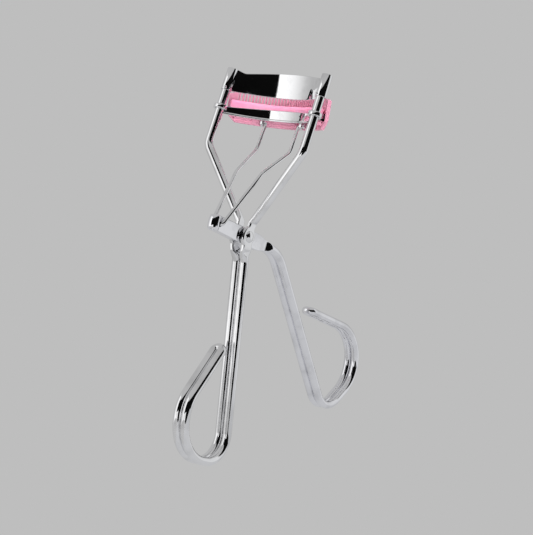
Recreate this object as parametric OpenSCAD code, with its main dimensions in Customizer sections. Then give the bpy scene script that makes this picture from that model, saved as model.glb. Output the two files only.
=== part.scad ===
/*
  Lash curler with a comb guard, hand held and fully metal apart from the pad and the guard.

  Frame: the origin is the centre of the pivot rivet. +X runs along the rivet, +Z runs up the two
  guide posts towards the head, and +Y is the bulging side of the jaws. The handles open in the YZ
  plane. Sizes are in millimetres.
*/

/* [Head] */
// Distance between the two guide posts
post_spacing = 29.4; // [26:0.2:33]
// How far the posts stand in front of the pivot
post_offset = 6.2; // [5:0.1:7.5]
// Height of the post tops above the pivot
post_top = 42.3; // [41.8:0.1:43]
// Height of the lower jaw's eyelets above the pivot
eyelet_z = 31.56; // [31:0.02:31.8]
// Lean of both jaws about the pivot direction
jaw_tilt = 13; // [11:0.5:15]

/* [Jaws] */
// Radius of the middle of the pad, seen from above
jaw_r = 20.7; // [20.4:0.1:21]
// Thickness of the jaw sheets
sheet_t = 0.5; // [0.4:0.05:0.5]
// Height of the upper jaw sheet at its middle
upper_h = 6.5; // [5.6:0.05:6.6]
// Height of the pad above the front lip of the lower jaw
pad_proud = 1.5; // [1.2:0.05:1.6]

/* [Comb guard] */
// Thickness of the comb wall
comb_t = 1; // [0.8:0.1:1.4]
// Height of the comb wall
comb_h = 7.9; // [7:0.1:8.2]
// Spacing of the comb teeth, in degrees round the jaw
tooth_pitch = 2.2; // [2:0.1:3]

/* [Wires] */
// Diameter of the frame wire
frame_d = 2.3; // [2.2:0.05:2.4]
// Diameter of the lever wire
lever_d = 2.2; // [2.1:0.05:2.3]
// Diameter of the link wire
link_d = 1; // [0.9:0.05:1.1]

/* [Handles] */
// Lean of the frame handle away from the posts
frame_lean = 20.4; // [18:0.2:22]
// Lean of the lever handle away from the posts
lever_lean = 53.6; // [52:0.2:56]
// Length of the frame handle from the pivot to the bottom of its loop
frame_reach = 57.9; // [54.9:0.5:60.4]
// Length of the lever handle from the pivot to the bottom of its loop
lever_reach = 64.2; // [62:0.2:66]
// Width of the frame's finger loop
frame_loop_w = 18; // [17:0.1:20]
// Width of the lever's finger loop
lever_loop_w = 20.7; // [19:0.1:22]

/* [Hidden] */

$fn = 48;
wire_fn = 28;
bow_fn = 400;
lap = 0.8;
lap_step = 0.006;
big = 60;

// Clearances between parts that move on each other
slide_gap = 0.08;
side_gap = 0.08;
pin_gap = 0.05;
hook_gap = 0.07;

// Posts and the bends below them; neck_lap is how far a flat reaches into the round wire
post_x = post_spacing / 2;
post_y = -post_offset;
bend_z = 21.2;
bend_r = 4;
neck_x = 1.9;
neck_z = 3.7;
neck_lap = 0.4;

// Pivot
lever_half = 1.12;
lever_slot = 0.1;
flat_in = lever_half + side_gap;
flat_t = 1.15;
boss_r = 2.5;
rivet_r = 0.9;
head_r = 1.5;
head_h = 0.65;
handle_start = 4.8;

// The two runs of a handle stand this far from its middle plane
pair_gap = 0.05;

// Frame handle and loop, as distances down the handle and out from it
frame_r = frame_d / 2;
frame_pair = frame_r + pair_gap;
frame_out = 0.25;
frame_rise = 3.6;
frame_corner_r = 6.5;
frame_side_r = 10.5;
frame_shoulder_r = 9.2;
frame_side_h = 16.6;
frame_loop_h = 28.9;
frame_side_in = 0.7;
frame_side = frame_reach - frame_side_h;
frame_tip = [frame_reach - frame_loop_h, 5.6];

// Lever flats, handle and loop
lever_r = lever_d / 2;
lever_pair = lever_r + pair_gap;
flat_tilt = 5.7;
flat_front = 12.8;
flat_back = 11.2;
flat_taper = 5.5;
flat_lap = 0.5;
flat_h_front = 3.9;
flat_h_mid = 4.2;
flat_h_back = 2.5;
lever_out = 10.3;
lever_bend_r = 10;
lever_corner_r = 6.5;
lever_side_r = 9.5;
lever_shoulder_r = 12;
lever_side_h = 14.6;
lever_loop_h = 29.1;
lever_side_in = 0.6;
lever_side = lever_reach - lever_side_h;
lever_tip = [lever_reach - lever_loop_h, 7.2];

// Link wire
link_r = link_d / 2;
link_hole = [-11.36, -1.14];
hole_gap = 0.3;
link_hole_r = link_r + hole_gap;
link_end = [-11.2, -1.12];
link_side = lever_half + slide_gap + link_r;
link_low = [3.95, -5.2, 15.2];
link_high = [5.2, 1.5, 23.8];
hook_x = 6.1;
hook_y = 1.86;
hook_z = 31.3;
link_knee_r = 4;
link_top_r = 3;
link_bend_r = 0.62;
lug_t = 0.7;
lug_r = 0.95;
lug_gap = 0.15;
hook_stub = 0.5;

// Jaw plan, in the leaning frame of each jaw: y forward is negative, the centre of the arcs is jaw_cy
jaw_cy = -12.5;
groove_w = 2.1;
groove_in = jaw_r - groove_w / 2;
groove_out = jaw_r + groove_w / 2;
floor_top = -0.35;
floor_low = -0.95;
lip_low = -1.55;
lip_mid = 1.34;
lip_end = 0.35;
back_top = 0.9;
groove_half = 44;
lip_half = 47;
fuse = 0.1;

// Eyelets
eyelet_wall = 0.56;
eyelet_h = 1.1;

// Upper jaw
upper_z = 39;
upper_cy = jaw_cy - 1.44;
upper_low = -2.55;
upper_drop = 1.9;
upper_half = 44;
tube_wall = 0.25;
tube_low = 36.25;
nub_r = 0.42;
nub_in = 0.5;
nub_up = 0.5;

// Pad
pad_top = lip_mid + pad_proud;
pad_half = 43;
pad_round = groove_w / 2;

// Comb guard
seat_gap = 0.02;
comb_in = groove_out + sheet_t + seat_gap;
comb_low = -2.75;
comb_half = 43.3;
comb_chamfer = 2;
comb_end = (comb_in + comb_t) * sin(comb_half);
tooth_depth = 3;
tooth_gap = 0.45;
tooth_half = 37;
ledge_w = 1.3;
ledge_in = comb_in - ledge_w;
ledge_top = floor_low - seat_gap;
ledge_t = 0.8;
ledge_mid_half = 9;
ledge_side_half = 38;
ledge_side_arc = 12;

// ---- Vector helpers for bent wire ----
function unit(v) = v / norm(v);
function turn(a, b, c) = acos(min(1, unit(b - a) * unit(c - b)));
function cut_len(a, b, c, rho) = rho * tan(turn(a, b, c) / 2);
function euler(x, y, z) = [atan2(y[2], z[2]), -asin(x[2]), atan2(x[1], x[0])];

// A straight round bar from p to q
module rod(p, q, r) {
    v = q - p;
    translate(p)
        rotate([0, acos(v[2] / norm(v)), atan2(v[1], v[0])])
            cylinder(h = norm(v), r = r, $fn = wire_fn);
}

// A bend of radius rho at the corner b between a and c
module bend(a, b, c, rho, r) {
    u = unit(b - a);
    w = unit(c - b);
    start = b - u * cut_len(a, b, c, rho);
    inward = unit(w - u * (u * w));
    hub = start + inward * rho;
    translate(hub)
        rotate(euler(-inward, u, cross(-inward, u)))
            ring_arc(turn(a, b, c), rho, r);
}

// An arc of round wire in the XY plane; its ends run a little way into the bars it joins
module ring_arc(angle, rho, r) {
    rotate([0, 0, -lap])
        rotate_extrude(angle = angle + 2 * lap, $fn = wire_fn)
            translate([rho, 0])
                circle(r = r - lap_step, $fn = wire_fn);
}

// A bent wire through the points p, with bend radii rr at the inner ones
module wire(p, rr, r) {
    last = len(p) - 1;
    cuts = [for (i = [0 : last])
        (i == 0 || i == last) ? 0 : cut_len(p[i - 1], p[i], p[i + 1], rr[i - 1])];
    for (i = [0 : last - 1]) {
        u = unit(p[i + 1] - p[i]);
        rod(p[i] + u * cuts[i], p[i + 1] - u * cuts[i + 1], r);
    }
    for (i = [1 : last - 1])
        bend(p[i - 1], p[i], p[i + 1], rr[i - 1], r);
}

// Both sides of a mirrored pair
module both() {
    children();
    mirror([1, 0, 0])
        children();
}

// A plate lying in the YZ plane from x0, t thick, cut from a flat shape
module side_plate(x0, t) {
    translate([x0, 0, 0])
        rotate([90, 0, 90])
            linear_extrude(height = t)
                children();
}

// A point of a handle at x, d down the handle and o out from its line, for a lean
function handle_pt(x, d, o, lean) =
    [x, d * sin(lean) + o * cos(lean), -d * cos(lean) + o * sin(lean)];

// The half ring that joins the two runs of a wire at a loop's tip
module tip(at, from, pair, r) {
    u = unit(at - from);
    translate([0, at[1], at[2]])
        rotate(euler([1, 0, 0], u, cross([1, 0, 0], u)))
            ring_arc(180, pair, r);
}

// ---- Frame ----
module frame_wire() {
    loop = [
        handle_pt(frame_pair, handle_start, frame_out, frame_lean),
        handle_pt(frame_pair, frame_reach, frame_out, frame_lean),
        handle_pt(frame_pair, frame_reach - frame_rise, -frame_loop_w, frame_lean),
        handle_pt(frame_pair, frame_side, frame_side_in - frame_loop_w, frame_lean),
        handle_pt(frame_pair, frame_tip[0], -frame_tip[1], frame_lean)];
    neck = handle_pt(0, handle_start + neck_lap, 0, frame_lean);
    side = frame_r * [cos(frame_lean), sin(frame_lean)];
    color("silver") {
        both() {
            wire([
                [post_x, post_y, post_top],
                [post_x, post_y, bend_z],
                [neck_x, 0, neck_z]], [bend_r], frame_r);
            wire(loop, [frame_corner_r, frame_side_r, frame_shoulder_r], frame_r);
            difference() {
                union() {
                    side_plate(flat_in, flat_t)
                        circle(r = boss_r);
                    side_plate(flat_in, flat_t)
                        polygon([
                            [-boss_r, 0], [boss_r, 0],
                            [frame_r, neck_z + 2 * neck_lap], [-frame_r, neck_z + 2 * neck_lap]]);
                    side_plate(flat_in, flat_t)
                        polygon([
                            [-boss_r, 0], [boss_r, 0],
                            [neck[1] + side[0], neck[2] + side[1]],
                            [neck[1] - side[0], neck[2] - side[1]]]);
                }
                side_plate(flat_in - 1, flat_t + 2)
                    circle(r = rivet_r);
            }
        }
        tip(loop[4], loop[3], frame_pair, frame_r);
    }
}

// ---- Pivot rivet: one shank with a domed head at each end ----
module pivot_rivet() {
    span = flat_in + flat_t;
    dome_r = (head_r * head_r + head_h * head_h) / (2 * head_h);
    color("gainsboro") {
        translate([-span, 0, 0])
            rotate([0, 90, 0])
                cylinder(h = 2 * span, r = rivet_r);
        both()
            rotate([0, 90, 0])
                rotate_extrude()
                    intersection() {
                        translate([0, span + head_h - dome_r])
                            circle(r = dome_r);
                        translate([0, span])
                            square([head_r + 1, head_h + 1]);
                    }
    }
}

// ---- Lever ----
function flat_pt(x, s, h) =
    [x, s * cos(flat_tilt) - h * sin(flat_tilt), s * sin(flat_tilt) + h * cos(flat_tilt)];

module lever_flats() {
    rotate([flat_tilt, 0, 0]) {
        both()
            side_plate(lever_slot, lever_half - lever_slot)
                polygon([
                    [-flat_front, -flat_h_front / 2], [0, -flat_h_mid / 2],
                    [flat_taper, -flat_h_mid / 2], [flat_back, -flat_h_back / 2],
                    [flat_back, flat_h_back / 2], [flat_taper, flat_h_mid / 2],
                    [0, flat_h_mid / 2], [-flat_front, flat_h_front / 2]]);
        translate([0, -flat_front, -flat_h_front / 2])
            difference() {
                cylinder(h = flat_h_front, r = lever_half);
                translate([-big, 0, -1])
                    cube([2 * big, big, big]);
                translate([0, 0, -1])
                    cylinder(h = big, r = lever_slot);
            }
    }
}

module lever_wire() {
    shaft_at = handle_pt(0, 0, lever_out, lever_lean);
    flat_dir = [0, cos(flat_tilt), sin(flat_tilt)];
    reach = (shaft_at[1] * cos(lever_lean) + shaft_at[2] * sin(lever_lean))
        / (flat_dir[1] * cos(lever_lean) + flat_dir[2] * sin(lever_lean));
    start = flat_pt(lever_pair, flat_back - flat_lap, 0);
    knee = flat_pt(lever_pair, reach, 0);
    loop = [
        start,
        knee,
        handle_pt(lever_pair, lever_reach, lever_out, lever_lean),
        handle_pt(lever_pair, lever_reach, lever_out + lever_loop_w, lever_lean),
        handle_pt(lever_pair, lever_side, lever_out + lever_loop_w - lever_side_in, lever_lean),
        handle_pt(lever_pair, lever_tip[0], lever_out + lever_tip[1], lever_lean)];
    color("lightgray") {
        difference() {
            lever_flats();
            side_plate(-big / 2, big)
                circle(r = rivet_r + pin_gap);
            side_plate(-big / 2, big)
                translate(link_hole)
                    circle(r = link_hole_r);
        }
        both()
            wire(loop, [lever_bend_r, lever_corner_r, lever_side_r, lever_shoulder_r], lever_r);
        tip(loop[5], loop[4], lever_pair, lever_r);
    }
}

// ---- Link wire: one wire bent to a U, through the lever and hooked into both lugs ----
module link_wire() {
    color("whitesmoke")
        both()
            wire([
                [0, link_end[0], link_end[1]],
                [link_side, link_end[0], link_end[1]],
                link_low,
                link_high,
                [hook_x - lug_t / 2 - link_r - lug_gap, hook_y, hook_z],
                [hook_x + lug_t / 2 + hook_stub, hook_y, hook_z]],
                [link_bend_r, link_knee_r, link_top_r, link_bend_r], link_r);
}

// ---- Jaws ----
// Moves a jaw from its leaning frame to the row frame; z is the height of its reference point
module lean(z) {
    translate([0, post_y, z])
        rotate([jaw_tilt, 0, 0])
            children();
}

// Part of a ring round the jaw centre, from radius r0 to r1 and height z0 to z1, to each side
module jaw_arc(r0, r1, z0, z1, half, cy = jaw_cy) {
    translate([0, cy, z0])
        rotate([0, 0, 90 - half])
            rotate_extrude(angle = 2 * half)
                translate([r0, 0])
                    square([r1 - r0, z1 - z0]);
}

// What lies under an edge that bows up to z at its middle and is lower by drop at the posts
module bow_cut(z, drop) {
    bow_r = (post_x * post_x + drop * drop) / (2 * drop);
    translate([0, 0, z - bow_r])
        rotate([90, 0, 0])
            cylinder(h = 2 * big, r = bow_r, center = true, $fn = bow_fn);
}

module tube(x, z0, h, r_in, wall) {
    translate([x, post_y, z0])
        difference() {
            cylinder(h = h, r = r_in + wall);
            translate([0, 0, -1])
                cylinder(h = h + 2, r = r_in);
        }
}

module upper_jaw() {
    plate_in = jaw_r - sheet_t / 2;
    color("silver") {
        difference() {
            lean(upper_z)
                intersection() {
                    jaw_arc(plate_in, plate_in + sheet_t, upper_low, upper_low + upper_h, upper_half,
                        upper_cy);
                    bow_cut(upper_low + upper_h, upper_drop);
                }
            both()
                translate([post_x, post_y, 0])
                    cylinder(h = big, r = frame_r + tube_wall / 2);
        }
        both() {
            tube(post_x, tube_low, post_top - tube_low, frame_r, tube_wall);
            translate([post_x - nub_in, post_y - frame_r - tube_wall + fuse, tube_low + nub_up])
                sphere(r = nub_r);
        }
    }
}

module lower_jaw() {
    lip_in = groove_in - sheet_t;
    hook_lean = [hook_y - post_y, hook_z - eyelet_z];
    lug_y = hook_lean[0] * cos(jaw_tilt) + hook_lean[1] * sin(jaw_tilt);
    lug_z = -hook_lean[0] * sin(jaw_tilt) + hook_lean[1] * cos(jaw_tilt);
    color("silver") {
        difference() {
            union() {
                lean(eyelet_z)
                    intersection() {
                        jaw_arc(lip_in, groove_in, lip_low, lip_mid, lip_half);
                        bow_cut(lip_mid, lip_mid - lip_end);
                    }
                lean(eyelet_z) {
                    jaw_arc(groove_in - fuse, groove_out + sheet_t, floor_low, floor_top, groove_half);
                    jaw_arc(groove_out, groove_out + sheet_t, floor_top - fuse, back_top, groove_half);
                    both()
                        difference() {
                            translate([hook_x - lug_t / 2, 0, 0])
                                union() {
                                    translate([0, lug_y, lug_z])
                                        rotate([0, 90, 0])
                                            cylinder(h = lug_t, r = lug_r);
                                    translate([0, lug_y - lug_r, lug_z])
                                        cube([lug_t, 2 * lug_r, floor_top - 2 * fuse - lug_z]);
                                }
                            translate([0, lug_y, lug_z])
                                rotate([0, 90, 0])
                                    cylinder(h = big, r = link_r + hook_gap);
                        }
                }
                both()
                    translate([post_x, post_y, eyelet_z - eyelet_h / 2])
                        cylinder(h = eyelet_h, r = frame_r + slide_gap + eyelet_wall);
            }
            both()
                translate([post_x, post_y, 0])
                    cylinder(h = big, r = frame_r + slide_gap);
        }
    }
}

module silicone_pad() {
    flat_top = pad_top - pad_round;
    color("hotpink")
        lean(eyelet_z)
            union() {
                jaw_arc(groove_in, groove_out, floor_top, flat_top, pad_half);
                translate([0, jaw_cy, flat_top])
                    rotate([0, 0, 90 - pad_half])
                        rotate_extrude(angle = 2 * pad_half)
                            translate([jaw_r, 0])
                                intersection() {
                                    circle(r = pad_round);
                                    translate([-pad_round, -fuse])
                                        square([2 * pad_round, pad_round + fuse]);
                                }
            }
}

module comb_guard() {
    color("pink")
        lean(eyelet_z)
            difference() {
                union() {
                    jaw_arc(comb_in, comb_in + comb_t, comb_low, comb_low + comb_h, comb_half);
                    jaw_arc(ledge_in, comb_in + fuse, ledge_top - ledge_t, ledge_top, ledge_mid_half);
                    both()
                        translate([0, jaw_cy, ledge_top - ledge_t])
                            rotate([0, 0, 90 - ledge_side_half])
                                rotate_extrude(angle = ledge_side_arc)
                                    translate([ledge_in, 0])
                                        square([ledge_w + fuse, ledge_t]);
                }
                both()
                    rotate([90, 0, 0])
                        linear_extrude(height = 2 * big, center = true)
                            polygon([
                                [comb_end - 2 * comb_chamfer, comb_low - 1], [big, comb_low - 1],
                                [big, comb_low + comb_chamfer], [comb_end, comb_low + comb_chamfer],
                                [comb_end - comb_chamfer, comb_low]]);
                for (a = [-tooth_half : tooth_pitch : tooth_half])
                    translate([0, jaw_cy, comb_low + comb_h - tooth_depth])
                        rotate([0, 0, a])
                            translate([-tooth_gap / 2, comb_in - 1, 0])
                                cube([tooth_gap, comb_t + 2, tooth_depth + 1]);
            }
}

frame_wire();
upper_jaw();
pivot_rivet();
lever_wire();
link_wire();
lower_jaw();
silicone_pad();
comb_guard();
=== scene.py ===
"""Looks of a wire-frame eyelash curler with a pink pad and comb guard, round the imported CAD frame."""
import bpy, bmesh, math
from mathutils import Vector, Matrix


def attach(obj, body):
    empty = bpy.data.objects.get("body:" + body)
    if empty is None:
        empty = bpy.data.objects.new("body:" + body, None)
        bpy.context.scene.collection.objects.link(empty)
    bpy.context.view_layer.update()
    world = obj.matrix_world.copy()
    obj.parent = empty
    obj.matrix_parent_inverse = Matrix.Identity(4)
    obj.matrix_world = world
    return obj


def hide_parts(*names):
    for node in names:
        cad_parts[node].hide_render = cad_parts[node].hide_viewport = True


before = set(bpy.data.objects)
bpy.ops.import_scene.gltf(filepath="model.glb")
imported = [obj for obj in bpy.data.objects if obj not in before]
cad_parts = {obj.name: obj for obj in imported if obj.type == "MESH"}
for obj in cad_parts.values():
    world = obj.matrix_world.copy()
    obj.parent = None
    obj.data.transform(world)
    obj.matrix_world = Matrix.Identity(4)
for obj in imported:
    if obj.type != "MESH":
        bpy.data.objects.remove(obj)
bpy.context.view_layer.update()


# Frame wire: one length of chromed steel wire, bent to two posts, stamped flat round the rivet hole
# and bent again to a handle pair and a finger loop that turns back on itself at its tip.
class Socket:
    """A shader socket that can be used in ordinary maths."""
    tree = None

    def __init__(self, out):
        self.out = out

    @classmethod
    def node(cls, kind, settings=None, **values):
        """Adds a node: its settings first, then its sockets by name, or as i and their number."""
        made = cls.tree.nodes.new(kind)
        for key, value in (settings or {}).items():
            setattr(made, key, value)
        for key, value in values.items():
            which = int(key[1:]) if key[0] == "i" and key[1:].isdigit() else key.replace("_", " ")
            target = made.inputs[which]
            if isinstance(value, Socket):
                cls.tree.links.new(value.out, target)
            else:
                target.default_value = value
        return made

    def math(self, op, other=0.0, swap=False):
        a, b = (other, self) if swap else (self, other)
        return Socket(Socket.node("ShaderNodeMath", {"operation": op}, i0=a, i1=b).outputs[0])

    def __add__(self, o): return self.math("ADD", o)
    def __radd__(self, o): return self.math("ADD", o, True)
    def __sub__(self, o): return self.math("SUBTRACT", o)
    def __rsub__(self, o): return self.math("SUBTRACT", o, True)
    def __mul__(self, o): return self.math("MULTIPLY", o)
    def __rmul__(self, o): return self.math("MULTIPLY", o, True)

    def band(self, low, high):
        """0 below the low value and 1 above the high one, with a smooth rise between."""
        made = Socket.node("ShaderNodeMapRange", {"interpolation_type": "SMOOTHSTEP"}, Value=self,
                           From_Min=low, From_Max=high)
        return Socket(made.outputs["Result"])

    def mix(self, a, b):
        """A colour between two others."""
        made = Socket.node("ShaderNodeMix", {"data_type": "RGBA"}, i0=self, i6=a, i7=b)
        return Socket(made.outputs[2])


def material(name):
    """A new material and its shader; the nodes made after it go into its tree."""
    made = bpy.data.materials.new(name)
    made.use_nodes = True
    Socket.tree = made.node_tree
    shader = made.node_tree.nodes["Principled BSDF"]
    return made, shader


def noise(scale, detail=3.0, rough=0.5, stretch=(1, 1, 1)):
    """Cloudy noise fixed to the piece, its scale in clouds per metre."""
    where = Socket(Socket.node("ShaderNodeTexCoord").outputs["Object"])
    if stretch != (1, 1, 1):
        where = Socket(Socket.node("ShaderNodeMapping", None, Vector=where, Scale=stretch).outputs[0])
    made = Socket.node("ShaderNodeTexNoise", None, Vector=where, Scale=scale, Detail=detail, Roughness=rough)
    return Socket(made.outputs[0])


def chrome(name, tint, haze, seed):
    """Bright nickel-chrome: faint polishing lines, smudges, and small pits in the plating."""
    made, shader = material(name)
    link = made.node_tree.links.new
    smudge = noise(140 + seed, 5, 0.6).band(0.42, 0.72)
    wear = noise(900 + 11 * seed, 4, 0.62)
    lines = noise(1500, 2, 0.5, (1, 1, 0.07))
    pits = noise(2600 + seed, 1, 0.5).band(0.76, 0.82)
    dull = [c * 0.82 for c in tint] + [1]
    link(smudge.mix(list(tint) + [1], dull).out, shader.inputs["Base Color"])
    shader.inputs["Metallic"].default_value = 1
    link((haze + 0.03 * smudge + 0.025 * wear.band(0.5, 0.8) + 0.06 * pits).out, shader.inputs["Roughness"])
    height = wear * 0.5 + lines * 0.35 - pits * 0.8
    bump = Socket.node("ShaderNodeBump", None, Height=height, Strength=0.004, Distance=0.00004)
    link(bump.outputs[0], shader.inputs["Normal"])
    return made


MM = 0.001


def finish_mesh(name, bm, body, nodes, mat, angle=35):
    """Makes a piece of a mesh in millimetres, on its body and in place of its CAD nodes."""
    bmesh.ops.remove_doubles(bm, verts=bm.verts, dist=1e-4)
    bmesh.ops.recalc_face_normals(bm, faces=bm.faces)
    bmesh.ops.scale(bm, verts=bm.verts, vec=(MM, MM, MM))
    mesh = bpy.data.meshes.new(name)
    bm.to_mesh(mesh)
    bm.free()
    mesh.materials.append(mat)
    piece = bpy.data.objects.new(name, mesh)
    bpy.context.scene.collection.objects.link(piece)
    for face in mesh.polygons:
        face.use_smooth = True
    mesh.set_sharp_from_angle(angle=math.radians(angle))
    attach(piece, body)
    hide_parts(*nodes)
    return piece


def rounded_path(points, radii, step=1.2, arc_steps=12):
    """Points along a bent wire: straight runs cut every step, and bends of the given radii."""
    points = [Vector(p) for p in points]
    path = [points[0]]
    for i in range(1, len(points) - 1):
        a, b, c = points[i - 1:i + 2]
        u, w = (b - a).normalized(), (c - b).normalized()
        turn = u.angle(w)
        rho = radii[i - 1]
        cut = rho * math.tan(turn / 2)
        inward = (w - u * u.dot(w)).normalized()
        start = b - u * cut
        hub = start + inward * rho
        gap = (start - path[-1]).length
        last = path[-1]
        for k in range(1, max(1, round(gap / step))):
            path.append(last.lerp(start, k / max(1, round(gap / step))))
        for k in range(arc_steps + 1):
            t = turn * k / arc_steps
            path.append(hub - inward * rho * math.cos(t) + u * rho * math.sin(t))
    gap = (points[-1] - path[-1]).length
    last = path[-1]
    for k in range(1, max(1, round(gap / step)) + 1):
        path.append(last.lerp(points[-1], k / max(1, round(gap / step))))
    return path


def sweep(bm, path, section, across=(1, 0, 0), sides=28, closed=False, caps=True):
    """Carries a section (half width, half depth, squareness) along a path; across is its width direction."""
    rings = []
    count = len(path)
    for i, p in enumerate(path):
        before = path[i - 1] if i or closed else path[0]
        after = path[(i + 1) % count] if i < count - 1 or closed else path[-1]
        along = (after - before).normalized()
        side = Vector(across(i, p) if callable(across) else across)
        side = (side - along * side.dot(along)).normalized()
        deep = along.cross(side)
        half_w, half_d, square = section(i, p)
        ring = []
        for k in range(sides):
            t = 2 * math.pi * (k + 0.5) / sides
            c, s = math.cos(t), math.sin(t)
            power = 2 / square
            x = math.copysign(abs(c) ** power, c) * half_w
            y = math.copysign(abs(s) ** power, s) * half_d
            ring.append(bm.verts.new(p + side * x + deep * y))
        rings.append(ring)
    for i in range(count if closed else count - 1):
        a, b = rings[i], rings[(i + 1) % count]
        for k in range(sides):
            bm.faces.new((a[k], a[(k + 1) % sides], b[(k + 1) % sides], b[k]))
    if caps and not closed:
        for ring in (rings[0], rings[-1]):
            bm.faces.new(ring)
    return rings


def handle_pt(x, down, out, lean):
    """A point of a handle that leans back from the rivet, by its distance down the handle and out of it."""
    s, c = math.sin(math.radians(lean)), math.cos(math.radians(lean))
    return Vector((x, down * s + out * c, -down * c + out * s))


def smooth(t):
    """An even rise from 0 to 1."""
    t = min(1.0, max(0.0, t))
    return t * t * (3 - 2 * t)


def mirrored(points):
    """The other half of a wire, run backwards."""
    return [Vector((-p.x, p.y, p.z)) for p in reversed(points)]


frame_r, frame_pair, frame_lean = 1.15, 1.2, 20.4
post_x, post_y, post_top, bend_z, bend_r = 14.7, -6.2, 42.3, 21.2, 4
flat_out, flat_in, flat_top, flat_step, flat_steps = 1.9, 1.775, 3.5, 0.25, 34
swing, swing_from, swing_power = 0.385, -0.6, 1.04
post_step, handle_step, loop_arc = 0.8, 1.2, 20

post_run = rounded_path([(post_x, post_y, post_top), (post_x, post_y, bend_z), (flat_out, 0, flat_top + 0.2)],
                        [bend_r], post_step)
flat_run = []
for k in range(flat_steps):
    z = flat_top - flat_step * k
    inward = (flat_out - flat_in) * smooth((flat_top - z) / 1.5)
    inward += (flat_in - frame_pair) * smooth((-z - 2.4) / 2.6)
    flat_run.append(Vector((flat_out - inward, swing * max(0.0, swing_from - z) ** swing_power, z)))

frame_reach, loop_w, loop_h, side_h, side_in = 57.9, 18, 28.9, 16.6, 0.7
handle_from, handle_out, corner_up, tip_out = 5.6, 0.25, 3.6, -5.6
frame_bends = [6.5, 10.5, 9.2]
loop_run = rounded_path([handle_pt(frame_pair, down, out, frame_lean) for down, out in (
    (handle_from, handle_out),
    (frame_reach, handle_out),
    (frame_reach - corner_up, -loop_w),
    (frame_reach - side_h, side_in - loop_w),
    (frame_reach - loop_h, tip_out),
)], frame_bends, handle_step, loop_arc)
half = post_run + flat_run + loop_run


def turn_back(run, pair, count=10):
    """The half ring that joins the two runs of a wire where it turns back on itself."""
    ahead = Vector((0, run[-1].y - run[-4].y, run[-1].z - run[-4].z)).normalized()
    hub = Vector((0, run[-1].y, run[-1].z))
    steps = [math.pi * k / count for k in range(1, count)]
    return [hub + Vector((pair * math.cos(t), 0, 0)) + ahead * abs(pair) * math.sin(t) for t in steps], hub


tip_run, tip_hub = turn_back(half, frame_pair)
whole = half + tip_run + mirrored(half)


def across_pair(i, p):
    """Width direction of a section: outward on each run, and round with the turn between them."""
    if i < len(half):
        return Vector((1, 0, 0))
    return p - tip_hub if i < len(half) + len(tip_run) else Vector((-1, 0, 0))


flat_half, boss, press_end, press_fade = 0.575, 2.5, 3.5, 1.3
spread_above, spread_below = 0.16, 0.62
round_wire, squarer = 2.0, 3.0


def frame_section(i, p):
    """Round wire, pressed to a plate with a round boss near the rivet."""
    if abs(p.z) >= press_end + 2 * press_fade or abs(p.x) > 2 * flat_out:
        return frame_r, frame_r, round_wire
    press = 1 - smooth((abs(p.z) - press_end) / press_fade)
    width = frame_r + (spread_above if p.z > 0 else spread_below) * press
    if abs(p.z) < boss:
        width = max(width, math.sqrt(boss ** 2 - p.z ** 2))
    return frame_r * (1 - press) + flat_half * press, width, round_wire + squarer * press


bm = bmesh.new()
sweep(bm, whole, frame_section, across_pair)
frame_chrome = chrome("chrome_frame", (0.86, 0.86, 0.87), 0.03, 3)
finish_mesh("frame_wire_visual", bm, "frame", ["frame_wire"], frame_chrome, 50)


# Upper jaw: a strip of chromed sheet bent to the curve of an eyelid, with a bowed top edge. Each end is
# rolled into a tube on its post, with an open seam, and a small bead of solder holds it at the front.
jaw_tilt = math.radians(13)
tilt_s, tilt_c = math.sin(jaw_tilt), math.cos(jaw_tilt)
jaw_r, sheet_half, upper_cy, upper_z = 20.7, 0.23, -13.94, 39.0
upper_low, upper_mid, upper_drop, upper_span = -2.55, 3.95, 1.9, 44.5
flare, flare_from, flare_run = 1.25, 11.6, 2.9
tube_in, tube_out, tube_low, tube_top = 1.16, 1.40, 36.25, 42.28
seam_left, seam_right, tube_turn = 104, 96, 340
bead_r, bead_half = 0.42, 0.4


def lean(x, y, z, at):
    """A point of a leaning jaw in the row frame."""
    return Vector((x, post_y + y * tilt_c - z * tilt_s, at + y * tilt_s + z * tilt_c))


def rounded(points, radius, steps=3):
    """A closed outline with its corners rounded."""
    made = []
    count = len(points)
    for i, b in enumerate(points):
        a, c = points[i - 1], points[(i + 1) % count]
        b, a, c = Vector(b), Vector(a), Vector(c)
        r = min(radius, (a - b).length * 0.45, (c - b).length * 0.45)
        p, q = b + (a - b).normalized() * r, b + (c - b).normalized() * r
        for k in range(steps + 1):
            t = k / steps
            made.append(p * (1 - t) ** 2 + b * 2 * t * (1 - t) + q * t ** 2)
    return made


def bar(inner, outer, low, high, soft, steps=3):
    """A rounded rectangular section, by its two radii and its two heights."""
    return rounded([(inner, low), (outer, low), (outer, high), (inner, high)], soft, steps)


def arc_sweep(bm, profile, start, end, cy, at, steps=90):
    """Carries a closed profile of (radius, height) points round the jaw's centre."""
    rings = []
    for k in range(steps + 1):
        a = math.radians(start + (end - start) * k / steps)
        rings.append([bm.verts.new(lean(p[0] * math.sin(a), cy + p[0] * math.cos(a), p[1], at))
                      for p in profile(math.degrees(a))])
    sides = len(rings[0])
    for a, b in zip(rings, rings[1:]):
        for k in range(sides):
            bm.faces.new((a[k], a[(k + 1) % sides], b[(k + 1) % sides], b[k]))
    bm.faces.new(rings[0])
    bm.faces.new(rings[-1])


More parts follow.
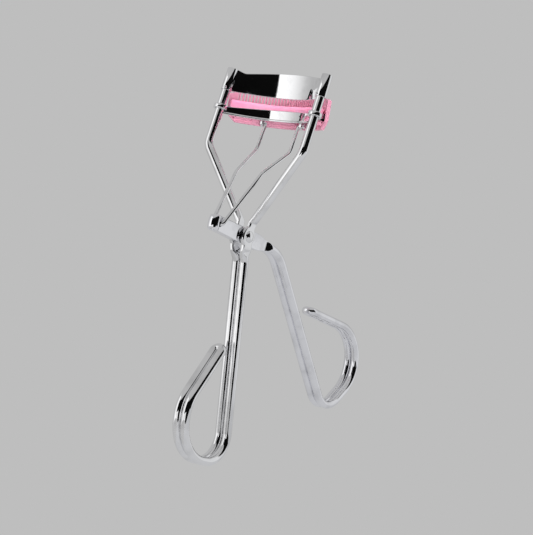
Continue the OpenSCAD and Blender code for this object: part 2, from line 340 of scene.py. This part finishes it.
def lathe(bm, profile, axis, at, sides=40, start=0.0, sweep_angle=360.0):
    """Turns an outline of (radius, height) points round an axis through a point."""
    axis = Vector(axis).normalized()
    one = axis.orthogonal().normalized() if abs(axis.z) < 0.9 else Vector((1, 0, 0))
    two = axis.cross(one)
    full = sweep_angle >= 360
    rings = []
    for k in range(sides if full else sides + 1):
        t = math.radians(start + sweep_angle * k / sides)
        out = one * math.cos(t) + two * math.sin(t)
        rings.append([bm.verts.new(Vector(at) + out * r + axis * h) for r, h in profile])
    for k in range(sides):
        a, b = rings[k], rings[(k + 1) % len(rings)]
        for j in range(len(profile) - 1 if full else len(profile)):
            n = (j + 1) % len(profile)
            bm.faces.new((a[j], a[n], b[n], b[j]))
    if not full:
        bm.faces.new(rings[0])
        bm.faces.new(rings[-1])


def bow(x, high, drop):
    """Height of an edge that falls by the drop between its middle and the posts."""
    r = (post_x ** 2 + drop ** 2) / (2 * drop)
    return high - (r - math.sqrt(r * r - x * x))


def upper_profile(a):
    x = abs(jaw_r * math.sin(math.radians(a)))
    top = bow(x, upper_mid, upper_drop) + flare * smooth((x - flare_from) / flare_run)
    return bar(jaw_r - sheet_half, jaw_r + sheet_half, upper_low, top, 0.16)


bm = bmesh.new()
arc_sweep(bm, upper_profile, -upper_span, upper_span, upper_cy, upper_z)
wall = bar(tube_in, tube_out, tube_low, tube_top, 0.08, 2)
bead = [(bead_r * math.cos(t), bead_half * math.sin(t)) for t in (math.pi * (k / 8 - 0.5) for k in range(9))]
for s in (-1, 1):
    lathe(bm, wall, (0, 0, 1), (s * post_x, post_y, 0), 44, seam_right if s > 0 else seam_left, tube_turn)
    lathe(bm, bead, (s * 0.25, -0.5, 0.8), (s * (post_x - 0.5), post_y - 1.3, tube_low + 0.5), 20)
upper_chrome = chrome("chrome_upper_jaw", (0.86, 0.86, 0.87), 0.035, 17)
finish_mesh("upper_jaw_visual", bm, "frame", ["upper_jaw"], upper_chrome)


# Pivot rivet: a chromed steel pin through both wires' flats, headed over at both ends. Each head is a
# low dome with a narrow rim.
head_r, head_h, head_round, head_seat, shank_r = 1.5, 0.65, 1.16, 2.35, 0.89
dome = [math.pi * k / 18 for k in range(9)]
head = [(head_r * math.sin(t), head_h * math.cos(t) ** head_round) for t in dome]
head += [(head_r, 0.03), (head_r - 0.02, 0.0), (0.0, 0.0)]


def pin(radius, reach):
    """The outline of a plain pin, either side of its middle."""
    return [(0.0, -reach), (radius, -reach), (radius, reach), (0.0, reach)]


bm = bmesh.new()
for s in (-1, 1):
    lathe(bm, head, (s, 0, 0), (s * head_seat, 0, 0), 40)
lathe(bm, pin(shank_r, head_seat + 0.01), (1, 0, 0), (0, 0, 0), 32)
rivet_chrome = chrome("chrome_rivet", (0.85, 0.85, 0.86), 0.04, 29)
finish_mesh("pivot_rivet_visual", bm, "frame", ["pivot_rivet"], rivet_chrome)


# Lever wire: a second length of wire, pressed flat and turned back at its front end, drilled for the
# rivet and the link, with a knee behind the pivot, a handle pair and a wider finger loop.
lever_r, lever_pair, lever_lean = 1.1, 1.15, 53.6
pressed_x, pressed_half, eye_x, knee_s, front_s = 0.61, 0.51, 1.03, 15.363, -12.45
tilt = math.radians(5.7)


def flat_pt(x, s):
    """A point of the lever's flat, by its distance behind the rivet."""
    return Vector((x, s * math.cos(tilt), s * math.sin(tilt)))


def along_flat(p):
    """How far behind the rivet a point is, along the flat."""
    return p.y * math.cos(tilt) + p.z * math.sin(tilt)


lever_reach, lever_out, tip_out = 64.2, 10.3, 17.5
loop_w, loop_h, side_h, side_in = 20.7, 29.1, 14.6, 0.6
lever_bends, lever_step = [10, 6.5, 9.5, 12], 0.35
flats = [flat_pt(lever_pair, front_s), flat_pt(lever_pair, knee_s)]
handle = [handle_pt(lever_pair, down, out, lever_lean) for down, out in (
    (lever_reach, lever_out),
    (lever_reach, lever_out + loop_w),
    (lever_reach - side_h, lever_out + loop_w - side_in),
    (lever_reach - loop_h, tip_out),
)]


def closed_up(p):
    """Brings the two runs together where they are pressed, and parts them again at the front eye."""
    s = along_flat(p)
    apart = (lever_pair - pressed_x) * smooth((s - 8.6) / 2.6)
    apart += (eye_x - pressed_x) * smooth((-11.6 - s) / 0.8)
    return Vector((pressed_x + apart, p.y, p.z))


half = [closed_up(p) for p in rounded_path(flats + handle, lever_bends, lever_step, 20)]
tip_run, tip_hub = turn_back(half, lever_pair)
front_run, front_hub = turn_back(mirrored(half), -eye_x, 22)
whole = half + tip_run + mirrored(half) + front_run


def across_lever(i, p):
    """As on the frame, and round with the turn at the front eye."""
    if i >= 2 * len(half) + len(tip_run):
        return p - front_hub
    return across_pair(i, p)


flat_front, front_h, middle_more, back_less = 12.8, 1.95, 0.15, 0.85


def lever_section(i, p):
    """Pressed plate up to just short of the knee, round wire after it."""
    s = along_flat(p)
    if s > 12.5:
        return lever_r, lever_r, round_wire
    press = 1 - smooth((s - 9.9) / 1.5)
    flat_h = front_h + middle_more * smooth((s + flat_front) / flat_front)
    flat_h -= back_less * smooth((s - 5.0) / 6.2) + 0.3 * smooth((-12.9 - s) / 0.9)
    squareness = round_wire + (7.0 - 6.8 * smooth((-11.9 - s) / 0.8)) * press
    return lever_r * (1 - press) + pressed_half * press, lever_r * (1 - press) + flat_h * press, squareness


def punch(piece, at, radius, reach):
    """Drills a hole along X through a piece."""
    bm = bmesh.new()
    lathe(bm, pin(radius, reach), (1, 0, 0), at, 48)
    bmesh.ops.remove_doubles(bm, verts=bm.verts, dist=1e-4)
    bmesh.ops.recalc_face_normals(bm, faces=bm.faces)
    bmesh.ops.scale(bm, verts=bm.verts, vec=(MM, MM, MM))
    mesh = bpy.data.meshes.new("drill")
    bm.to_mesh(mesh)
    bm.free()
    drill = bpy.data.objects.new("drill", mesh)
    bpy.context.scene.collection.objects.link(drill)
    cut = piece.modifiers.new("hole", "BOOLEAN")
    cut.operation, cut.object, cut.solver = "DIFFERENCE", drill, "EXACT"
    made = bpy.data.meshes.new_from_object(piece.evaluated_get(bpy.context.evaluated_depsgraph_get()))
    piece.modifiers.clear()
    piece.data = made
    bpy.data.objects.remove(drill)
    made.set_sharp_from_angle(angle=math.radians(40))


bm = bmesh.new()
sweep(bm, whole, lever_section, across_lever, sides=32, closed=True)
lever_chrome = chrome("chrome_lever", (0.86, 0.86, 0.885), 0.035, 41)
lever = finish_mesh("lever_wire_visual", bm, "lever", ["lever_wire"], lever_chrome, 40)
link_hole, link_hole_r, bore_r = (0, -11.36, -1.14), 0.8, 0.95
punch(lever, link_hole, link_hole_r, 4)
punch(lever, (0, 0, 0), bore_r, 1.9)


# Link wire: one thin wire bent to a narrow U. Its foot runs through the lever's front hole, and its
# two ends turn outward through the lugs under the lower jaw.
def plain_section(radius, count):
    """Round wire whose two ends are domed."""
    def section(i, p):
        from_end = min(i, count - 1 - i)
        r = radius * (0.55, 0.85, 1.0)[min(from_end, 2)]
        return r, r, round_wire
    return section


link_r, link_bend, hook_y, hook_z, hook_out = 0.5, 0.62, 1.86, 31.3, 6.95
half = rounded_path([(0, -11.2, -1.12), (1.7, -11.2, -1.12), (3.95, -5.2, 15.2), (5.2, 1.5, 23.8),
                     (5.1, hook_y, hook_z), (hook_out - 0.25, hook_y, hook_z)],
                    [link_bend, 4, 3, link_bend], 0.8, 10)
half += [Vector((hook_out - 0.08, hook_y, hook_z)), Vector((hook_out, hook_y, hook_z))]
whole = mirrored(half)[:-1] + half
side_now = [Vector((0, 0, 1))]


def carried(i, p):
    """The section's direction, carried along without twist."""
    ahead = (whole[min(i + 1, len(whole) - 1)] - whole[max(i - 1, 0)]).normalized()
    side_now[0] = (side_now[0] - ahead * side_now[0].dot(ahead)).normalized()
    return side_now[0]


bm = bmesh.new()
sweep(bm, whole, plain_section(link_r, len(whole)), carried, sides=20)
link_chrome = chrome("chrome_link", (0.86, 0.86, 0.87), 0.035, 53)
finish_mesh("link_wire_visual", bm, "link", ["link_wire"], link_chrome, 50)


# Lower jaw: a chromed sheet channel that holds the pad, with a tall front lip curled at its lower
# edge, an eyelet on each post, and two pierced lugs below for the link's hooks.
jaw_cy, lower_z = -12.5, 31.56
lip_r, lip_low, lip_mid, lip_drop, lip_span = 19.4, -1.55, 1.34, 0.99, 47
channel_in, channel_out, channel_low, channel_top, channel_span = 19.5, 22.24, -0.95, 0.9, 44
floor_top, rim_in = -0.4, 21.77
eyelet_in, eyelet_out, eyelet_half = 1.23, 1.79, 0.55
lug_x, lug_y, lug_z, lug_top = 6.1, 7.795, -2.07, -0.55
lug_r, lug_hole, lug_half, lug_soft, lug_sides = 0.95, 0.57, 0.35, 0.08, 40


def lip_profile(a):
    """The front lip: a thin sheet with its lower edge curled a little forward."""
    top = bow(lip_r * math.sin(math.radians(a)), lip_mid, lip_drop)
    return rounded([(lip_r - 0.42, lip_low), (lip_r + 0.22, lip_low), (lip_r + 0.22, top), (lip_r - 0.2, top),
                    (lip_r - 0.22, lip_low + 0.5), (lip_r - 0.42, lip_low + 0.35)], 0.15)


def channel_profile(a):
    """The channel's floor and back rim."""
    return rounded([(channel_in, channel_low), (channel_out, channel_low), (channel_out, channel_top),
                    (rim_in, channel_top), (rim_in, floor_top), (channel_in, floor_top)], 0.18)


def lug(bm, s):
    """A pierced lug below the channel: round below, square above, with its edges eased."""
    layers = []
    flat = lug_half - lug_soft
    for x, ease in ((-lug_half, lug_soft), (-flat, 0), (flat, 0), (lug_half, lug_soft)):
        inner, outer = [], []
        for k in range(lug_sides):
            t = 2 * math.pi * k / lug_sides
            c, n = math.cos(t), math.sin(t)
            far = lug_r if n <= 0 else min(lug_r / max(abs(c), 1e-6), (lug_top - lug_z) / n)
            for group, r in ((inner, lug_hole + ease), (outer, far - ease)):
                group.append(bm.verts.new(lean(s * (lug_x + x), lug_y + r * c, lug_z + r * n, lower_z)))
        layers.append((inner, outer))
    for k in range(lug_sides):
        n = (k + 1) % lug_sides
        for (i0, o0), (i1, o1) in zip(layers, layers[1:]):
            bm.faces.new((o0[k], o0[n], o1[n], o1[k]))
            bm.faces.new((i0[k], i1[k], i1[n], i0[n]))
        for inner, outer in (layers[0], layers[-1]):
            bm.faces.new((inner[k], inner[n], outer[n], outer[k]))


bm = bmesh.new()
arc_sweep(bm, lip_profile, -lip_span, lip_span, jaw_cy, lower_z)
arc_sweep(bm, channel_profile, -channel_span, channel_span, jaw_cy, lower_z)
ring = bar(eyelet_in, eyelet_out, -eyelet_half, eyelet_half, 0.16)
for s in (-1, 1):
    lathe(bm, ring + ring[:1], (0, 0, 1), (s * post_x, post_y, lower_z), 44)
    lug(bm, s)
lower_chrome = chrome("chrome_lower_jaw", (0.86, 0.86, 0.87), 0.035, 67)
finish_mesh("lower_jaw_visual", bm, "lower_jaw", ["lower_jaw"], lower_chrome)


# Silicone pad: a moulded pink strip pushed into the channel, with a rounded top that carries a faint
# line where the upper jaw presses it, and rounded ends.
pad_half, pad_low, pad_flat, pad_dome, pad_mid, pad_span = 1.04, -0.38, 1.8, 1.05, 1.2, 43
crease, crease_w, end_run = 0.07, 0.22, 1.4


def pad_profile(a):
    """A strip with a round, creased top, drawn in towards its ends."""
    end = max(0.0, (abs(a) - pad_span + end_run) / end_run)
    shrink = math.sqrt(max(0.0, 1 - min(end, 0.98) ** 2))
    made = [(-pad_half, pad_low), (pad_half, pad_low)]
    for k in range(17):
        t = math.pi * k / 16
        dent = crease * math.exp(-((t - math.pi / 2) / crease_w) ** 2)
        made.append((pad_half * math.cos(t), pad_flat + (pad_dome - dent) * math.sin(t)))
    return [(jaw_r + x * shrink, pad_mid + (z - pad_mid) * (0.4 + 0.6 * shrink)) for x, z in made]


bm = bmesh.new()
arc_sweep(bm, pad_profile, -pad_span, pad_span, jaw_cy, lower_z, 110)
silicone, shader = material("pink_silicone")
link = silicone.node_tree.links.new
cloud = noise(160, 4, 0.55)
speck = noise(3400, 2, 0.5).band(0.66, 0.78)
base = cloud.band(0.35, 0.7).mix([0.90, 0.37, 0.54, 1], [0.88, 0.31, 0.50, 1])
link((speck * 0.25).mix(base, [0.98, 0.45, 0.62, 1]).out, shader.inputs["Base Color"])
link((0.42 + 0.14 * cloud).out, shader.inputs["Roughness"])
shader.inputs["Subsurface Weight"].default_value = 0.25
shader.inputs["Subsurface Radius"].default_value = (0.9, 0.35, 0.4)
shader.inputs["Subsurface Scale"].default_value = 0.001
bump = Socket.node("ShaderNodeBump", None, Height=noise(2600, 3, 0.6), Strength=0.12, Distance=0.00005)
link(bump.outputs[0], shader.inputs["Normal"])
finish_mesh("silicone_pad_visual", bm, "lower_jaw", ["silicone_pad"], silicone, 50)


# Comb guard: a moulded strip of clear pink plastic behind the lower jaw, with fine teeth that part the
# lashes, solid end blocks, and small ledges that clip it under the channel.
comb_in, comb_out = 22.3, 23.27
comb_low, comb_top, tooth_low = -2.74, 5.13, 2.15
comb_span, block_from = 43.3, 37.2
tooth_pitch, tooth_count, tooth_half, tooth_thick = 2.2, 34, 0.33, 0.44
tooth_sides, tooth_square = 12, 0.6
ledge_in, ledge_low, ledge_top = 21.0, -1.78, -0.99


def comb_wall(a):
    return bar(comb_in, comb_out, comb_low, tooth_low, 0.16)


def comb_end(a):
    """A solid end block whose outer corners are cut back."""
    high = comb_top - 0.6 * smooth((abs(a) - 38.0) / 5.3)
    low = comb_low + 2.0 * max(0.0, (abs(a) - block_from) / (comb_span - block_from))
    return bar(comb_in, comb_out, low, high, 0.2)


def ledge(a):
    return bar(ledge_in, comb_in + 0.1, ledge_low, ledge_top, 0.15)


def tooth(bm, a):
    """A tooth that narrows to a rounded tip, at an angle round the jaw's centre."""
    turn = math.radians(a)
    middle = (comb_in + comb_out) / 2
    rings = []
    for z, share in ((tooth_low - 0.2, 1.0), (tooth_low + 0.3, 0.97), (3.4, 0.88), (4.5, 0.78), (4.95, 0.6),
                     (comb_top, 0.28)):
        ring = []
        for k in range(tooth_sides):
            t = 2 * math.pi * (k + 0.5) / tooth_sides
            c, n = math.cos(t), math.sin(t)
            x = math.copysign(abs(c) ** tooth_square, c) * tooth_half * share
            r = middle + math.copysign(abs(n) ** tooth_square, n) * tooth_thick * (0.55 + 0.45 * share)
            ring.append(bm.verts.new(lean(r * math.sin(turn) + x * math.cos(turn),
                                          jaw_cy + r * math.cos(turn) - x * math.sin(turn), z, lower_z)))
        rings.append(ring)
    for one, two in zip(rings, rings[1:]):
        for k in range(tooth_sides):
            bm.faces.new((one[k], one[(k + 1) % tooth_sides], two[(k + 1) % tooth_sides], two[k]))
    bm.faces.new(rings[0])
    bm.faces.new(rings[-1])


bm = bmesh.new()
arc_sweep(bm, comb_wall, -block_from - 0.1, block_from + 0.1, jaw_cy, lower_z)
for s in (-1, 1):
    arc_sweep(bm, comb_end, s * block_from, s * comb_span, jaw_cy, lower_z, 12)
    arc_sweep(bm, ledge, s * 26.0, s * 38.0, jaw_cy, lower_z, 14)
arc_sweep(bm, ledge, -9, 9, jaw_cy, lower_z, 20)
for k in range(tooth_count):
    tooth(bm, tooth_pitch * (k - (tooth_count - 1) / 2))
plastic, shader = material("pink_plastic")
link = plastic.node_tree.links.new
flow = noise(230, 3, 0.5, (1, 1, 0.35))
base = flow.band(0.3, 0.7).mix([0.90, 0.40, 0.54, 1], [0.86, 0.35, 0.50, 1])
link(base.out, shader.inputs["Base Color"])
link((0.16 + 0.12 * noise(700, 4, 0.6)).out, shader.inputs["Roughness"])
link((0.84 + 0.08 * flow).out, shader.inputs["Alpha"])
shader.inputs["IOR"].default_value = 1.46
bump = Socket.node("ShaderNodeBump", None, Height=noise(1500, 2, 0.5), Strength=0.05, Distance=0.00003)
link(bump.outputs[0], shader.inputs["Normal"])
finish_mesh("comb_guard_visual", bm, "lower_jaw", ["comb_guard"], plastic, 45)


# Studio: a pale board lit from behind well below the object, a plain grey backdrop, and soft lamps. The
# chrome mirrors dark and lit cloths hung round the object, which the camera doesn't see.
def plain(name, colour, spread, lit=0.0):
    """Even cloth or board with faint clouding, lit from behind by a given amount."""
    made, shader = material(name)
    link = made.node_tree.links.new
    shade = noise(3, 3, 0.5).mix([c * (1 - spread) for c in colour] + [1], list(colour) + [1])
    link(shade.out, shader.inputs["Base Color"])
    if lit:
        link(shade.out, shader.inputs["Emission Color"])
        shader.inputs["Emission Strength"].default_value = lit
    shader.inputs["Roughness"].default_value = 1.0
    shader.inputs["Specular IOR Level"].default_value = 0
    return made


def panel(name, at, facing, wide, tall, mat):
    """A flat card or floor, facing a point."""
    mesh = bpy.data.meshes.new(name)
    w, h = wide / 2, tall / 2
    mesh.from_pydata([(-w, -h, 0), (w, -h, 0), (w, h, 0), (-w, h, 0)], [], [(0, 1, 2, 3)])
    run = mesh.uv_layers.new(name="run")
    for corner, uv in zip(run.data, ((0, 0), (1, 0), (1, 1), (0, 1))):
        corner.uv = uv
    mesh.materials.append(mat)
    card = bpy.data.objects.new(name, mesh)
    bpy.context.scene.collection.objects.link(card)
    card.location = at
    card.rotation_mode = "QUATERNION"
    card.rotation_quaternion = (Vector(facing) - Vector(at)).to_track_quat("Z", "Y")
    return card


world = bpy.data.worlds.new("studio")
bpy.context.scene.world = world
world.use_nodes = True
background = world.node_tree.nodes["Background"]
background.inputs["Color"].default_value = (0.515, 0.515, 0.515, 1)
background.inputs["Strength"].default_value = 1.0
panel("floor", (0, 0, -0.3), (0, 0, 1), 6, 6, plain("floor_board", (0.11, 0.11, 0.11), 0.04, 4.0))

az, el, roll = math.radians(36.25), math.radians(-12.69), math.radians(17.6)
back = Vector((math.sin(az) * math.cos(el), -math.cos(az) * math.cos(el), math.sin(el)))
level = Vector((math.cos(az), math.sin(az), 0))
upward = back.cross(level)
right = level * math.cos(roll) + upward * math.sin(roll)
up = -level * math.sin(roll) + upward * math.cos(roll)


def place(across, above, towards):
    """A point of the room, by its distance across, above and towards the viewer."""
    return right * across + up * above + back * towards


def light(name, at, size, power):
    """A soft square lamp facing the object, which the chrome doesn't mirror."""
    data = bpy.data.lights.new(name, "AREA")
    data.shape, data.size, data.energy = "SQUARE", size, power
    lamp = bpy.data.objects.new(name, data)
    bpy.context.scene.collection.objects.link(lamp)
    lamp.location = at
    lamp.rotation_mode = "QUATERNION"
    lamp.rotation_quaternion = at.to_track_quat("Z", "Y")
    lamp.visible_camera = False
    lamp.visible_glossy = False


card_steps = 24


def curved_card(name, mat, start, end, low, high, distance):
    """A card bent round the object, between two angles to the right of the viewer."""
    bm = bmesh.new()
    columns = []
    for k in range(card_steps + 1):
        t = math.radians(start + (end - start) * k / card_steps)
        across, towards = math.sin(t) * distance, math.cos(t) * distance
        columns.append([bm.verts.new(place(across, above, towards)) for above in (low, high)])
    for a, b in zip(columns, columns[1:]):
        bm.faces.new((a[0], b[0], b[1], a[1]))
    mesh = bpy.data.meshes.new(name)
    bm.to_mesh(mesh)
    bm.free()
    run = mesh.uv_layers.new(name="run")
    for corner in mesh.loops:
        run.data[corner.index].uv = (corner.vertex_index // 2 / card_steps, corner.vertex_index % 2)
    mesh.materials.append(mat)
    card = bpy.data.objects.new(name, mesh)
    bpy.context.scene.collection.objects.link(card)
    card.visible_camera = False


def glow(name, near, far, tint=(1, 1, 1)):
    """A lit cloth whose brightness runs from near to far along the card."""
    made, shader = material(name)
    where = Socket(Socket.node("ShaderNodeTexCoord").outputs["UV"])
    run = Socket(Socket.node("ShaderNodeSeparateXYZ", None, Vector=where).outputs[0])
    lit = run.band(0, 1).mix([near * c for c in tint] + [1], [far * c for c in tint] + [1])
    made.node_tree.links.new(lit.out, shader.inputs["Emission Color"])
    shader.inputs["Emission Strength"].default_value = 1
    shader.inputs["Base Color"].default_value = (0, 0, 0, 1)
    shader.inputs["Specular IOR Level"].default_value = 0
    return made


light("fill_left", place(-0.5, 0.3, 0.5), 0.5, 7.0)
light("fill_front", place(0.15, -0.1, 0.5), 0.3, 2.6)
light("fill_top", place(0.1, 0.7, 0.1), 0.5, 5.0)
black = plain("card_cloth", (0.004, 0.004, 0.004), 0.2)
curved_card("dark_card", black, -8, 82, -0.3, 0.42, 0.6)
curved_card("dark_card_left", black, -50, -8, 0.04, 0.42, 0.6)
curved_card("low_card", glow("low_cloth", 0.9, 1.1), -50, -8, -0.3, 0.04, 0.6)
curved_card("side_card", glow("side_cloth", 0.7, 0.6), 48, 82, -0.3, -0.17, 0.58)
curved_card("lit_card", glow("lit_cloth", 0.5, 1.3), -120, -51, -0.25, 0.6, 0.62)
curved_card("rim_card", glow("rim_cloth", 0.78, 0.7, (0.98, 0.99, 1.0)), 88, 132, -0.35, 0.6, 0.62)
under_cloth = glow("under_cloth", 0.56, 0.66, (0.97, 0.98, 1.0))
panel("under_card", place(0.04, -0.2, 0.0), (0, 0, 0), 0.9, 0.7, under_cloth).visible_camera = False

sensor, view_ratio, away, shift_right, shift_down = 36, 3.1473, 420, 6.097, 7.905
camera = bpy.data.cameras.new("camera")
camera.sensor_fit, camera.sensor_width = "HORIZONTAL", sensor
camera.lens = view_ratio * sensor
eye = bpy.data.objects.new("camera", camera)
bpy.context.scene.collection.objects.link(eye)
basis = Matrix((right, up, back)).transposed().to_4x4()
basis.translation = (back * away + right * shift_right - up * shift_down) * MM
eye.matrix_world = basis
bpy.context.scene.camera = eye
bpy.context.scene.view_settings.view_transform = "Standard"
